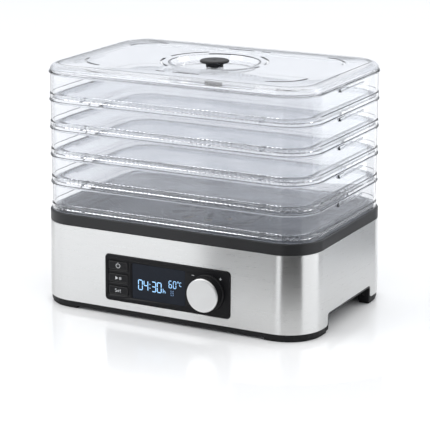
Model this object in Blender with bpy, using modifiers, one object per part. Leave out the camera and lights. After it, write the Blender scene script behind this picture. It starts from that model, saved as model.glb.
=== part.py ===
"""Countertop food dehydrator: a steel heater base with a front control panel, five clear stacking
trays and a clear vented lid.

Sizes are in millimetres and are turned into metres where a mesh is made. +Z is up, the control panel
faces -Y, and heights are above the table. Each piece is placed from the middle of the base.
"""

from math import cos, pi, radians, sin

import bmesh
import bpy
from mathutils import Matrix, Vector

MM = 0.001
GAP = 0.3  # clearance between pieces that touch

# Driving dimensions of the whole stack
HALF_WIDTH = 168.0
HALF_DEPTH = 111.0
CORNER_RADIUS = 41.0
TABLE_GAP = 3.0  # underside of the base skirt above the table
STEEL_BOTTOM = 8.5
STEEL_TOP = 96.0
STEEL_FLARE = 1.3  # how much wider the steel wrap is at its foot, each side
STEEL_THICK = 1.2
TRIM_TOP = 109.0
TRAY_COUNT = 5
TRAY_PITCH = 31.4
WALL = 1.8
CLEAR_STEPS = 4  # facets at each corner of a tray or the lid, alike so that they nest

# Underside of the base
PAN_FLOOR = 20.5
PAN_THICK = 2.5
GRIP_HALF_Y = 58.0
GRIP_TOP = 22.5
FOOT_FROM_X = 117.0
POST_X, POST_Y = 138.0, 82.0

# Deck under the trays and the air path through it
DECK_BOTTOM = 98.2
DECK_THICK = 2.5
DUCT_RADIUS = 56.0
OUTLET_RADIUS = 52.0
GRILLE_RADIUS = 60.0
MOTOR_RADIUS = 21.0
SHAFT_RADIUS = 1.6

# Control panel on the front face
PANEL_HALF_X, PANEL_HALF_Z, PANEL_RADIUS = 78.2, 26.5, 4.5
PANEL_Z = 44.0
PANEL_FRONT = 112.7
PANEL_THICK = 3.0
WINDOW_X, WINDOW_HALF_X, WINDOW_HALF_Z = -10.2, 33.2, 20.2
BUTTON_X, BUTTON_HALF_X, BUTTON_HALF_Z = -61.3, 12.4, 4.9
BUTTON_HEIGHTS = {"power": 58.6, "start_pause": 44.3, "set": 30.0}
DIAL_X, DIAL_RADIUS, DIAL_FRONT = 51.0, 18.8, 127.0
GLAND_BACK = 116.0
BOARD_FRONT = 98.4  # front face of the control board, measured forwards from the middle
POST_PANEL_X, POST_PANEL_Z = 75.4, (28.0, 64.0)

# Lid
LID_RISE = 9.0
KNOB_RADIUS, KNOB_RISE = 16.5, 2.0
WELL_RADIUS, WELL_DEPTH = 50.2, 6.0
VENT_WIDTH = 2.6
VENT_RING_RADIUS = 59.5
RING_VENT_MIDDLES, RING_VENT_HALF = (31.5, 148.5, 211.5, 328.5), 23.5
CORNER_VENT_X, CORNER_VENT_Y, CORNER_VENT_RADIUS = 135.5, 79.0, 36.0
STRAIGHT_VENTS = ((19.5, 30.5), (-22.5, 10.0))  # along X at the back; the front pair is this one turned round


def clear_scene():
    for obj in list(bpy.data.objects):
        bpy.data.objects.remove(obj, do_unlink=True)


def new_collection(name):
    made = bpy.data.collections.new(name)
    bpy.context.scene.collection.children.link(made)
    return made


def new_material(name, colour, roughness, metallic=0.0, transmission=0.0):
    made = bpy.data.materials.new(name)
    made.use_nodes = True
    shader = made.node_tree.nodes["Principled BSDF"]
    shader.inputs["Base Color"].default_value = (*colour, 1.0)
    shader.inputs["Roughness"].default_value = roughness
    shader.inputs["Metallic"].default_value = metallic
    shader.inputs["Transmission Weight"].default_value = transmission
    made.diffuse_color = (*colour, 1.0)
    return made


clear_scene()
PARTS = new_collection("food_dehydrator")
CUTTERS = new_collection("cutters")

STEEL = new_material("brushed_steel", (0.62, 0.62, 0.61), 0.32, 1.0)
DARK_TRIM = new_material("dark_trim_plastic", (0.03, 0.03, 0.032), 0.45)
BLACK_GLOSS = new_material("panel_black", (0.012, 0.012, 0.014), 0.18)
SCREEN = new_material("display_glass", (0.05, 0.09, 0.15), 0.1)
CLEAR = new_material("clear_plastic", (0.88, 0.92, 0.98), 0.05, 0.0, 1.0)
RUBBER = new_material("foot_rubber", (0.02, 0.02, 0.02), 0.8)
SILVER = new_material("dial_silver", (0.75, 0.75, 0.74), 0.28, 1.0)
INNER_PLASTIC = new_material("inner_plastic", (0.06, 0.06, 0.065), 0.5)
BOARD_GREEN = new_material("circuit_board", (0.02, 0.16, 0.06), 0.45)
PART_BLACK = new_material("moulded_component", (0.02, 0.02, 0.022), 0.5)
ZINC = new_material("zinc_plate", (0.6, 0.6, 0.58), 0.4, 1.0)
MICA = new_material("mica_sheet", (0.5, 0.42, 0.3), 0.6)
HEATER_WIRE = new_material("heater_wire", (0.35, 0.33, 0.3), 0.4, 1.0)
FAN_PLASTIC = new_material("fan_plastic", (0.55, 0.55, 0.53), 0.5)


def add_object(name, bm, material=None):
    """A part when it has a material, otherwise a hidden helper for a Boolean."""
    mesh = bpy.data.meshes.new(name)
    bmesh.ops.recalc_face_normals(bm, faces=bm.faces)
    bm.to_mesh(mesh)
    bm.free()
    obj = bpy.data.objects.new(name, mesh)
    if material is None:
        CUTTERS.objects.link(obj)
        obj.hide_render = True
        obj.display_type = "WIRE"
    else:
        PARTS.objects.link(obj)
        mesh.materials.append(material)
        mesh.shade_smooth()
        mesh.set_sharp_from_angle(angle=radians(28))
    return obj


def add_box(bm, low, high):
    low, high = Vector(low) * MM, Vector(high) * MM
    size = high - low
    place = Matrix.Translation((low + high) / 2) @ Matrix.Diagonal((*size, 1))
    bmesh.ops.create_cube(bm, size=1, matrix=place)


def boxes(name, corners, material=None):
    bm = bmesh.new()
    for low, high in corners:
        add_box(bm, low, high)
    return add_object(name, bm, material)


TURNS = {
    "up": Matrix.Identity(4),
    "front": Matrix.Rotation(pi / 2, 4, "X"),
    "back": Matrix.Rotation(-pi / 2, 4, "X"),
}


def add_rod(bm, base, radius, length, facing="up", segments=24, top_radius=None):
    """A cylinder, or a cone, that starts at base and runs up, to the front or to the back."""
    top = radius if top_radius is None else top_radius
    place = Matrix.Translation(Vector(base) * MM) @ TURNS[facing]
    place @= Matrix.Translation((0, 0, length * MM / 2))
    bmesh.ops.create_cone(
        bm, cap_ends=True, segments=segments, radius1=radius * MM, radius2=top * MM,
        depth=length * MM, matrix=place,
    )


def rods(name, rows, material=None, **shape):
    bm = bmesh.new()
    for base, radius, length in rows:
        add_rod(bm, base, radius, length, **shape)
    return add_object(name, bm, material)


def corner_arcs(half_x, half_y, radius, steps):
    """Points of a rounded rectangle, counter-clockwise from its right-hand side."""
    points = []
    for quarter in range(4):
        side_x = 1 if quarter in (0, 3) else -1
        side_y = 1 if quarter in (0, 1) else -1
        for step in range(steps + 1):
            angle = (quarter + step / steps) * pi / 2
            points.append((side_x * (half_x - radius) + radius * cos(angle),
                           side_y * (half_y - radius) + radius * sin(angle)))
    return points


def stack(name, sections, material=None, steps=6, ring=False, facing="up", place=(0, 0, 0)):
    """A loft through rounded rectangles, each (half_x, half_y, radius, height). A ring joins its last
    section to its first, and any other stack has its two ends capped."""
    bm = bmesh.new()
    loops = [
        [bm.verts.new(Vector((x, y, height)) * MM) for x, y in corner_arcs(half_x, half_y, radius, steps)]
        for half_x, half_y, radius, height in sections
    ]
    pairs = list(zip(loops, loops[1:]))
    if ring:
        pairs.append((loops[-1], loops[0]))
    else:
        bm.faces.new(loops[0])
        bm.faces.new(loops[-1])
    for lower, upper in pairs:
        for i in range(len(lower)):
            bm.faces.new((lower[i - 1], lower[i], upper[i], upper[i - 1]))
    bmesh.ops.transform(bm, matrix=TURNS[facing], verts=bm.verts)
    obj = add_object(name, bm, material)
    obj.location = Vector(place) * MM
    return obj


def outline(inset, height):
    """A section of the stack's own plan, moved in by inset."""
    return HALF_WIDTH - inset, HALF_DEPTH - inset, CORNER_RADIUS - inset, height


def turned(name, profile, material=None, place=(0, 0, 0), facing="up", steps=32, closed=False):
    """A profile of (radius, height) points, listed down its outer side, turned about its axis."""
    mesh = bpy.data.meshes.new(name)
    edges = [(i, i + 1) for i in range(len(profile) - 1)]
    if closed:
        edges.append((len(profile) - 1, 0))
    mesh.from_pydata([(r * MM, 0, z * MM) for r, z in profile], edges, [])
    obj = bpy.data.objects.new(name, mesh)
    if material is None:
        CUTTERS.objects.link(obj)
        obj.hide_render = True
        obj.display_type = "WIRE"
    else:
        PARTS.objects.link(obj)
        mesh.materials.append(material)
    screw = obj.modifiers.new("turn", "SCREW")
    screw.steps = screw.render_steps = steps
    screw.use_merge_vertices = True
    screw.merge_threshold = 1e-5
    screw.use_smooth_shade = True
    obj.matrix_world = Matrix.Translation(Vector(place) * MM) @ TURNS[facing]
    return obj


def combine(obj, helper, operation):
    modifier = obj.modifiers.new(helper.name, "BOOLEAN")
    modifier.operation = operation
    modifier.solver = "EXACT"
    modifier.object = helper


def cut(obj, helper):
    combine(obj, helper, "DIFFERENCE")


def join(obj, helper):
    combine(obj, helper, "UNION")


def both_sides(low, high):
    """The box given for +X, and its twin at -X."""
    return [(low, high), ((-high[0], low[1], low[2]), (-low[0], high[1], high[2]))]


def four_corners(x, y):
    return [(x, -y), (-x, -y), (-x, y), (x, y)]


def steel_housing():
    housing = stack("steel_housing", [
        outline(-STEEL_FLARE, STEEL_BOTTOM), outline(0, STEEL_TOP),
        outline(STEEL_THICK, STEEL_TOP), outline(STEEL_THICK - STEEL_FLARE, STEEL_BOTTOM),
    ], STEEL, steps=12, ring=True)
    cut(housing, boxes("cut_steel_grips", [
        ((-200, -GRIP_HALF_Y, 0), (200, GRIP_HALF_Y, GRIP_TOP)),
    ]))
    cut(housing, stack("cut_steel_panel", [
        (PANEL_HALF_X + GAP, PANEL_HALF_Z + GAP, PANEL_RADIUS + GAP, 100),
        (PANEL_HALF_X + GAP, PANEL_HALF_Z + GAP, PANEL_RADIUS + GAP, 120),
    ], steps=5, facing="front", place=(0, 0, PANEL_Z)))
    cut(housing, rods("cut_steel_gland", [((-110, 120, 34), 6.6, 20)], facing="front"))
    return housing


def top_trim_ring():
    ledge = 12.0
    ledge_top = DECK_BOTTOM - GAP
    return stack("top_trim_ring", [
        outline(0, STEEL_TOP + GAP), outline(0, TRIM_TOP - 0.7), outline(0.6, TRIM_TOP - 0.15),
        outline(4.4, TRIM_TOP - 0.15), outline(4.4, ledge_top), outline(ledge, ledge_top),
        outline(ledge, ledge_top - 2.4), outline(4.4, ledge_top - 2.4), outline(4.4, STEEL_TOP - 8),
        outline(1.7, STEEL_TOP - 8), outline(1.7, STEEL_TOP + GAP),
    ], DARK_TRIM, steps=8, ring=True)


def base_deck():
    """The floor under the trays, with the long posts that the bottom pan screws into."""
    top = DECK_BOTTOM + DECK_THICK
    deck = stack("base_deck", [outline(4.8, DECK_BOTTOM), outline(4.8, top)], DARK_TRIM, steps=6)
    post_foot = PAN_FLOOR + PAN_THICK + GAP
    join(deck, rods("deck_posts", [
        ((x, y, post_foot), 5.0, DECK_BOTTOM + 1 - post_foot) for x, y in four_corners(POST_X, POST_Y)
    ], segments=10))
    cut(deck, rods("cut_deck_posts", [
        *[((x, y, post_foot - 1), 2.2, 14) for x, y in four_corners(POST_X, POST_Y)],
        ((72, 0, DECK_BOTTOM - 5), 2.7, 15),
    ], segments=8))
    cut(deck, rods("cut_deck_outlet", [((0, 0, DECK_BOTTOM - 5), OUTLET_RADIUS, 15)], segments=32))
    return deck


def air_outlet_grille():
    bottom = DECK_BOTTOM + DECK_THICK + GAP
    grille = turned("air_outlet_grille", [
        (0, bottom + 2.6), (GRILLE_RADIUS - 1.5, bottom + 2.6), (GRILLE_RADIUS, bottom + 1.2),
        (GRILLE_RADIUS, bottom), (0, bottom),
    ], DARK_TRIM, steps=32)
    bm = bmesh.new()
    spokes = 10
    for ring_radius, half_length in ((19.0, 8.0), (40.0, 9.5)):
        for step in range(spokes):
            place = Matrix.Rotation(step * 2 * pi / spokes, 4, "Z") @ Matrix.Translation(
                Vector((ring_radius, 0, bottom + 1)) * MM)
            size = Vector((half_length * 2, ring_radius * 2.6 / spokes, 8)) * MM
            bmesh.ops.create_cube(bm, size=1, matrix=place @ Matrix.Diagonal((*size, 1)))
    cut(grille, add_object("cut_grille", bm))
    return grille


def bottom_pan():
    """The black tray that closes the base: a skirt, a raised floor, corner blocks and grip frames."""
    top = PAN_FLOOR + PAN_THICK
    skirt = TABLE_GAP + 0.1
    pan = stack("bottom_pan", [
        outline(4.2, PAN_FLOOR), outline(2.6, skirt), outline(-0.4, skirt),
        outline(-0.4, STEEL_BOTTOM - GAP), outline(1.7, STEEL_BOTTOM - GAP), outline(1.7, top),
    ], DARK_TRIM, steps=8)
    blocks = stack("pan_corner_blocks", [
        outline(0.6, skirt), outline(0.6, STEEL_BOTTOM - 1), outline(2.3, STEEL_BOTTOM - 1),
        outline(2.3, PAN_FLOOR + 1), outline(13, PAN_FLOOR + 1), outline(13, skirt),
    ], steps=8, ring=True)
    combine(blocks, boxes("keep_corners", [
        ((min(s * FOOT_FROM_X, s * 190), min(t * GRIP_HALF_Y, t * 130), 0),
         (max(s * FOOT_FROM_X, s * 190), max(t * GRIP_HALF_Y, t * 130), 40))
        for s in (1, -1) for t in (1, -1)
    ]), "INTERSECT")
    join(pan, blocks)
    join(pan, boxes("pan_grip_frames", both_sides(
        (HALF_WIDTH - 4.5, 0.4 - GRIP_HALF_Y, skirt + 1),
        (HALF_WIDTH + 0.7, GRIP_HALF_Y - 0.4, GRIP_TOP - 0.4))))
    join(pan, rods("pan_bosses", [
        ((x, y, top - 1), 3.2, 7.5) for x, y in ((-152, -28), (-152, 48), (-78, -44), (-78, 60))
    ], segments=8))
    lining = 2.4
    cut(pan, boxes("cut_pan_grips", [
        ((-200, lining - GRIP_HALF_Y, 0), (200, GRIP_HALF_Y - lining, GRIP_TOP - lining)),
    ]))
    cut(pan, boxes("cut_pan_intake", [
        ((side * 22 - 18, row * 9 - 2.4, 10), (side * 22 + 18, row * 9 + 2.4, 30))
        for side in (1, -1) for row in range(-4, 5)
    ]))
    cut(pan, rods("cut_pan_screws", [
        ((x, y, 10), 2.2, 20) for x, y in four_corners(POST_X, POST_Y)], segments=8))
    return pan


def feet():
    """A rubber pad under each corner block."""
    names = {(1, -1): "foot_front_right", (-1, -1): "foot_front_left",
             (-1, 1): "foot_rear_left", (1, 1): "foot_rear_right"}
    for (side, end), name in names.items():
        foot = stack(name, [
            outline(1.0, 0), outline(0.4, 0.8), outline(0.4, TABLE_GAP - 0.2),
            outline(12.4, TABLE_GAP - 0.2), outline(12.4, 0),
        ], RUBBER, steps=8, ring=True)
        keep = boxes("keep_" + name, [(
            (min(side * (FOOT_FROM_X + 1), side * 190), min(end * (GRIP_HALF_Y + 1), end * 130), -9),
            (max(side * (FOOT_FROM_X + 1), side * 190), max(end * (GRIP_HALF_Y + 1), end * 130), 9),
        )])
        combine(foot, keep, "INTERSECT")


def control_panel():
    back = PANEL_FRONT - PANEL_THICK
    panel = stack("control_panel", [
        (PANEL_HALF_X, PANEL_HALF_Z, PANEL_RADIUS, back),
        (PANEL_HALF_X, PANEL_HALF_Z, PANEL_RADIUS, PANEL_FRONT - 0.4),
        (PANEL_HALF_X - 0.4, PANEL_HALF_Z - 0.4, PANEL_RADIUS - 0.4, PANEL_FRONT),
    ], BLACK_GLOSS, steps=5, facing="front", place=(0, 0, PANEL_Z))
    join(panel, boxes("panel_posts", [
        ((x - 2.0, -back - 1, z - 2.2), (x + 2.0, -BOARD_FRONT - GAP, z + 2.2))
        for x in (-POST_PANEL_X, POST_PANEL_X) for z in POST_PANEL_Z
    ]))
    cut(panel, boxes("cut_panel_openings", [
        *[((BUTTON_X - BUTTON_HALF_X - GAP, -120, z - BUTTON_HALF_Z - GAP),
           (BUTTON_X + BUTTON_HALF_X + GAP, -104, z + BUTTON_HALF_Z + GAP))
          for z in BUTTON_HEIGHTS.values()],
        ((WINDOW_X - WINDOW_HALF_X - GAP, -120, PANEL_Z - WINDOW_HALF_Z - GAP),
         (WINDOW_X + WINDOW_HALF_X + GAP, -104, PANEL_Z + WINDOW_HALF_Z + GAP)),
    ]))
    cut(panel, rods("cut_panel_shaft", [((DIAL_X, -100, PANEL_Z), 5.4, 20)], facing="front"))
    return panel


def display():
    front = PANEL_FRONT
    boxes("display_window", [
        ((WINDOW_X - WINDOW_HALF_X, -front + 0.2, PANEL_Z - WINDOW_HALF_Z),
         (WINDOW_X + WINDOW_HALF_X, -front + 1.8, PANEL_Z + WINDOW_HALF_Z)),
    ], SCREEN)
    boxes("lcd_module", [
        ((WINDOW_X - 30, -front + 2.2, PANEL_Z - 18), (WINDOW_X + 30, -BOARD_FRONT - GAP, PANEL_Z + 18)),
    ], PART_BLACK)
    board = boxes("control_board", [((-77.5, -BOARD_FRONT, 24.2), (77.5, 1.6 - BOARD_FRONT, 69.5))],
                  BOARD_GREEN)
    holes = [(x, z) for x in (-POST_PANEL_X, POST_PANEL_X) for z in POST_PANEL_Z]
    cut(board, rods("cut_board_holes", [((x, -90, z), 1.5, 20) for x, z in holes],
                    facing="front", segments=10))


def buttons():
    """Each key is a cap with a stem that ends just short of its switch."""
    for key, height in BUTTON_HEIGHTS.items():
        cap = stack(key + "_button", [
            (BUTTON_HALF_X, BUTTON_HALF_Z, 1.2, PANEL_FRONT - PANEL_THICK - 0.6),
            (BUTTON_HALF_X, BUTTON_HALF_Z, 1.2, PANEL_FRONT - 0.1),
            (BUTTON_HALF_X - 0.4, BUTTON_HALF_Z - 0.4, 0.8, PANEL_FRONT + 0.3),
        ], BLACK_GLOSS, steps=3, facing="front", place=(BUTTON_X, 0, height))
        join(cap, rods("stem_" + key, [((BUTTON_X, -104.2, height), 1.8, 6.6)],
                       facing="front", segments=12))
        switch = boxes(key + "_switch", [
            ((BUTTON_X - 3, -101.9, height - 3), (BUTTON_X + 3, -BOARD_FRONT - GAP, height + 3)),
        ], PART_BLACK)
        join(switch, rods("plunger_" + key, [((BUTTON_X, -101.5, height), 1.6, 1.6)],
                          facing="front", segments=10))


def dial():
    """The encoder stands on the board. Its shaft carries the silver cap and the black ring behind it."""
    encoder = boxes("encoder_body", [
        ((DIAL_X - 6.2, -105.4, PANEL_Z - 6.6), (DIAL_X + 6.2, -BOARD_FRONT - GAP, PANEL_Z + 6.6)),
    ], ZINC)
    join(encoder, rods("encoder_bushing", [((DIAL_X, -105, PANEL_Z), 4.5, 6)], facing="front"))
    cut(encoder, rods("cut_encoder", [((DIAL_X, -101.5, PANEL_Z), 3.3, 20)], facing="front"))
    rods("encoder_shaft", [((DIAL_X, -102, PANEL_Z), 2.95, 20.6)], ZINC, facing="front", segments=20)
    turned("dial_skirt", [
        (19.6, 115.0), (20.2, 114.4), (20.2, PANEL_FRONT + GAP), (4.4, PANEL_FRONT + GAP),
        (4.4, 115.0),
    ], DARK_TRIM, place=(DIAL_X, 0, PANEL_Z), facing="front", steps=32, closed=True)
    rim = DIAL_FRONT
    turned("dial_cap", [
        (0, rim), (DIAL_RADIUS - 1.6, rim), (DIAL_RADIUS - 0.5, rim - 0.5), (DIAL_RADIUS, rim - 1.6),
        (DIAL_RADIUS, 115.3), (DIAL_RADIUS - 2, 115.3), (DIAL_RADIUS - 2, rim - 2.6),
        (5.4, rim - 2.6), (5.4, 115.8), (3.3, 115.8), (3.3, rim - 4.0), (0, rim - 4.0),
    ], SILVER, place=(DIAL_X, 0, PANEL_Z), facing="front", steps=32)


def air_path():
    """Duct, motor, fan and heater, all on the middle axis."""
    duct_foot = PAN_FLOOR + PAN_THICK + GAP
    duct_top = DECK_BOTTOM - GAP
    duct = turned("fan_duct", [
        (DUCT_RADIUS, duct_top), (DUCT_RADIUS, duct_foot), (DUCT_RADIUS - 2.4, duct_foot),
        (DUCT_RADIUS - 2.4, duct_top),
    ], INNER_PLASTIC, steps=24, closed=True)
    bm = bmesh.new()
    for arm in range(3):
        turn = Matrix.Rotation(radians(90 + arm * 120), 4, "Z")
        place = turn @ Matrix.Translation(Vector((33, 0, 31.5)) * MM)
        size = Vector((45, 7, 3)) * MM
        bmesh.ops.create_cube(bm, size=1, matrix=place @ Matrix.Diagonal((*size, 1)))
    join(duct, add_object("duct_arms", bm))
    join(duct, rods("duct_hub", [((0, 0, 30), 24, 3)], segments=24))
    cut(duct, rods("cut_duct_hub", [
        ((0, 0, 20), 5, 30), ((14, 0, 20), 1.9, 30), ((-14, 0, 20), 1.9, 30)], segments=12))
    motor = turned("fan_motor", [
        (2.1, 58.0), (8, 58.0), (8, 55.0), (MOTOR_RADIUS - 1, 55.0), (MOTOR_RADIUS, 54.0),
        (MOTOR_RADIUS, 33.3), (2.1, 33.3),
    ], ZINC, steps=20, closed=True)
    cut(motor, rods("cut_motor", [
        ((14, 0, 30), 1.9, 12), ((-14, 0, 30), 1.9, 12)], segments=8))
    for number, x in ((1, 14), (2, -14)):
        screw = rods(f"motor_screw_{number}", [((x, 0, 27.4), 3.0, 2.3)], ZINC, segments=12)
        join(screw, rods(f"motor_screw_shank_{number}", [((x, 0, 29), 1.4, 9)], segments=8))
    rods("motor_shaft", [((0, 0, 40), SHAFT_RADIUS, 34)], ZINC, segments=12)
    fan = turned("fan_impeller", [
        (2.0, 76), (9, 76), (12, 73), (12, 60.5), (9.5, 60.5), (9.5, 62.5), (2.0, 62.5),
    ], FAN_PLASTIC, steps=16, closed=True)
    bm = bmesh.new()
    blades = 7
    for blade in range(blades):
        turn = Matrix.Rotation(blade * 2 * pi / blades, 4, "Z")
        lean = Matrix.Rotation(radians(34), 4, "X")
        place = turn @ Matrix.Translation(Vector((30.5, 0, 67.5)) * MM) @ lean
        size = Vector((39, 19, 1.8)) * MM
        bmesh.ops.create_cube(bm, size=1, matrix=place @ Matrix.Diagonal((*size, 1)))
    join(fan, add_object("fan_blades", bm))
    frame = boxes("heater_frame", [((-53, -0.8, 82), (53, 0.8, 93))], MICA)
    join(frame, boxes("heater_frame_cross", [((-0.8, -53, 82), (0.8, 53, 93))]))
    turns, steps, inner, outer, height = 3, 14, 17.0, 47.0, 94.4
    spiral = []
    for step in range(steps * turns + 1):
        angle = step / steps * 2 * pi
        radius = inner + (outer - inner) * step / (steps * turns)
        spiral.append((radius * cos(angle), radius * sin(angle), height))
    coil_curve("heater_coil", spiral, 0.9, HEATER_WIRE)


def coil_curve(name, points, radius, material):
    curve = bpy.data.curves.new(name, "CURVE")
    curve.dimensions = "3D"
    curve.bevel_depth = radius * MM
    curve.bevel_resolution = 1
    curve.use_fill_caps = True
    spline = curve.splines.new("POLY")
    spline.points.add(len(points) - 1)
    for point, place in zip(spline.points, points):
        point.co = (*(Vector(place) * MM), 1)
    curve.materials.append(material)
    obj = bpy.data.objects.new(name, curve)
    PARTS.objects.link(obj)
    return obj


def electrics():
    """The power board on its bosses, the thermal parts and the cord inlet."""
    board_top = 31.4
    boxes("power_board", [((-156, -48, board_top - 1.6), (-74, 64, board_top))], BOARD_GREEN)
    top = board_top + GAP
    boxes("transformer", [((-150, -36, top), (-120, -8, top + 24))], PART_BLACK)
    boxes("heater_relay", [((-112, -40, top), (-96, -20, top + 16))], BLACK_GLOSS)
    rods("mains_capacitor", [((-104, 30, top), 7.5, 22)], ZINC, segments=20)
    rods("thermal_cutout", [((-74, 30, DECK_BOTTOM - GAP - 8), 8, 8)], PART_BLACK, segments=20)
    rods("temperature_sensor", [((72, 0, 90), 2.1, 16)], ZINC, segments=12, top_radius=1.7)
    turned("cord_gland", [
        (6.2, GLAND_BACK), (9.0, 115.2), (9.0, 112.4), (6.2, 112.4), (6.2, 106), (4.0, 106),
        (4.0, GLAND_BACK),
    ], DARK_TRIM, place=(-110, 0, 34), facing="back", steps=16, closed=True)


def base_screws():
    for number, (x, y) in enumerate(four_corners(POST_X, POST_Y), 1):
        screw = rods(f"base_screw_{number}", [((x, y, PAN_FLOOR - GAP - 2.2), 3.4, 2.2)], ZINC,
                     segments=14)
        join(screw, rods(f"base_screw_shank_{number}", [((x, y, PAN_FLOOR - 1), 1.6, 14)],
                         segments=10))


def tray(number, joint):
    """A clear tray between two joints: a spigot that nests below, a sloped edge up to the floor, a low
    outer band, a plain wall, and a thin flange that the next tray stands on."""
    top = joint + TRAY_PITCH - 0.15
    foot = joint + 0.15
    floor_top = joint + 6.0
    body = stack(f"tray_{number}", [
        outline(14.5, floor_top - WALL), outline(6.6, joint + 0.9), outline(6.6, joint - 2.4),
        outline(5.0, joint - 2.4), outline(5.0, foot), outline(2.0, foot), outline(2.0, joint + 7.0),
        outline(2.7, joint + 7.6), outline(2.7, top - 1.5), outline(1.2, top - 1.2),
        outline(1.2, top), outline(4.5, top), outline(4.5, joint + 2.6), outline(14.5, floor_top),
    ], CLEAR, steps=CLEAR_STEPS)
    join(body, boxes(f"tray_grips_{number}", both_sides(
        (HALF_WIDTH - 3.6, -30, top - 6.0), (HALF_WIDTH - 0.5, 38, top - 4.4))))
    columns, rows, rib_x, rib_y = 2, 8, 12.0, 14.0
    span_x, span_y = 2 * (HALF_WIDTH - 20), 2 * (HALF_DEPTH - 20)
    openings = []
    for column in range(columns):
        for row in range(rows):
            left = -span_x / 2 + column * span_x / columns + rib_x / 2
            front = -span_y / 2 + row * span_y / rows + rib_y / 2
            openings.append(((left, front, joint - 5),
                             (left + span_x / columns - rib_x, front + span_y / rows - rib_y, joint + 12)))
    cut(body, boxes(f"cut_tray_floor_{number}", openings))
    return body


def arc_slot(bm, centre, radius, start, end, low, high, steps=4):
    """A curved slot cutter: a band of VENT_WIDTH along an arc, from low to high."""
    inner, outer = radius - VENT_WIDTH / 2, radius + VENT_WIDTH / 2
    frames = []
    for step in range(steps + 1):
        angle = start + (end - start) * step / steps
        frames.append([
            bm.verts.new(Vector((centre[0] + r * cos(angle), centre[1] + r * sin(angle), z)) * MM)
            for r, z in ((inner, low), (outer, low), (outer, high), (inner, high))])
    for near, far in zip(frames, frames[1:]):
        for i in range(4):
            bm.faces.new((near[i - 1], near[i], far[i], far[i - 1]))
    bm.faces.new(frames[0])
    bm.faces.new(frames[-1])


def lid(joint):
    top = joint + LID_RISE
    body = stack("lid", [
        outline(15.5, top - WALL), outline(8.2, top - 2.4), outline(5.2, top - 4.6),
        outline(4.5, joint + 1.5), outline(6.6, joint - 2.4), outline(5.0, joint - 2.4),
        outline(5.0, joint + 0.15), outline(2.1, joint + 0.15), outline(2.1, joint + 1.3),
        outline(2.8, joint + 1.7), outline(2.9, joint + 4.2), outline(4.6, joint + 6.6),
        outline(8.0, joint + 8.3), outline(13.0, top),
    ], CLEAR, steps=CLEAR_STEPS)
    floor = top - WELL_DEPTH
    join(body, turned("lid_well_wall", [
        (0, top - 0.6), (WELL_RADIUS + 1.6, top - 0.6), (WELL_RADIUS + 1.6, top - WALL - 0.4),
        (WELL_RADIUS - 2.0, floor - WALL), (0, floor - WALL),
    ], steps=36))
    cut(body, turned("cut_lid_well", [
        (0, top + 2), (WELL_RADIUS, top + 2), (WELL_RADIUS, top), (WELL_RADIUS - 3.6, floor),
        (0, floor),
    ], steps=36))
    return body


def lid_vents(body, top):
    """Four arcs round the knob, a short and a long slot front and back, and a bent slot at each corner."""
    quarters = bmesh.new()
    low, high = top - 6, top + 6
    for middle in RING_VENT_MIDDLES:
        arc_slot(quarters, (0, 0), VENT_RING_RADIUS, radians(middle - RING_VENT_HALF),
                 radians(middle + RING_VENT_HALF), low, high)
    cut(body, add_object("cut_lid_ring_vents", quarters))
    corners = bmesh.new()
    for quarter, (x, y) in enumerate(((1, 1), (-1, 1), (-1, -1), (1, -1))):
        centre = (x * (CORNER_VENT_X - CORNER_VENT_RADIUS), y * (CORNER_VENT_Y - CORNER_VENT_RADIUS))
        start = quarter * pi / 2
        arc_slot(corners, centre, CORNER_VENT_RADIUS, start + radians(6), start + radians(84),
                 low, high)
    cut(body, add_object("cut_lid_corner_vents", corners))
    cut(body, boxes("cut_lid_straight_vents", [
        ((min(side * a, side * b), side * CORNER_VENT_Y - VENT_WIDTH / 2, low),
         (max(side * a, side * b), side * CORNER_VENT_Y + VENT_WIDTH / 2, high))
        for side in (-1, 1) for a, b in STRAIGHT_VENTS
    ]))
    cut(body, rods("cut_lid_knob", [((0, 0, top - 14), 2.2, 24)], segments=12))


def knob(top):
    """The knob stands in the well, so that only its cap rises above the top of the lid."""
    foot, crown = top - WELL_DEPTH + GAP, top + KNOB_RISE
    turned("lid_knob", [
        (0, crown), (10, crown - 0.1), (KNOB_RADIUS - 1.2, crown - 0.3), (KNOB_RADIUS, crown - 1.3),
        (KNOB_RADIUS - 0.3, crown - 2.6), (KNOB_RADIUS - 2.5, crown - 3.4), (10.2, crown - 3.8),
        (9.8, foot), (1.9, foot), (1.9, foot + 4.2), (0, foot + 4.2),
    ], DARK_TRIM, steps=28)
    under = top - WELL_DEPTH - WALL
    screw = rods("lid_knob_screw", [((0, 0, under - GAP - 2.2), 4.2, 2.2)], ZINC, segments=14)
    join(screw, rods("lid_knob_screw_shank", [((0, 0, under - 1.5), 1.5, 6.8)], segments=10))


def centre_on_origin():
    """The dial stands out further than the cord inlet, so an empty carries everything back by half the
    difference, which puts the middle of the whole footprint on the origin."""
    carrier = bpy.data.objects.new("carrier", None)
    PARTS.objects.link(carrier)
    carrier.location = (0, (DIAL_FRONT - GLAND_BACK) / 2 * MM, 0)
    for obj in [*PARTS.objects, *CUTTERS.objects]:
        if obj != carrier:
            obj.parent = carrier


def build():
    steel_housing()
    top_trim_ring()
    base_deck()
    air_outlet_grille()
    bottom_pan()
    feet()
    control_panel()
    display()
    buttons()
    dial()
    air_path()
    electrics()
    base_screws()
    joint = TRIM_TOP
    for number in range(1, TRAY_COUNT + 1):
        tray(number, joint)
        joint += TRAY_PITCH
    lid_vents(lid(joint), joint + LID_RISE)
    knob(joint + LID_RISE)
    centre_on_origin()


build()
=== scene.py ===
"""Looks of a countertop food dehydrator: a brushed steel base with a black control panel, five
clear trays with fine net floors, and a clear vented lid with a dark knob.

Sizes in the classes are in millimetres from the middle of the base at the table, and are turned
into metres where a mesh is made. +Z is up and the control panel faces -Y.
"""

from __future__ import annotations

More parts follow.
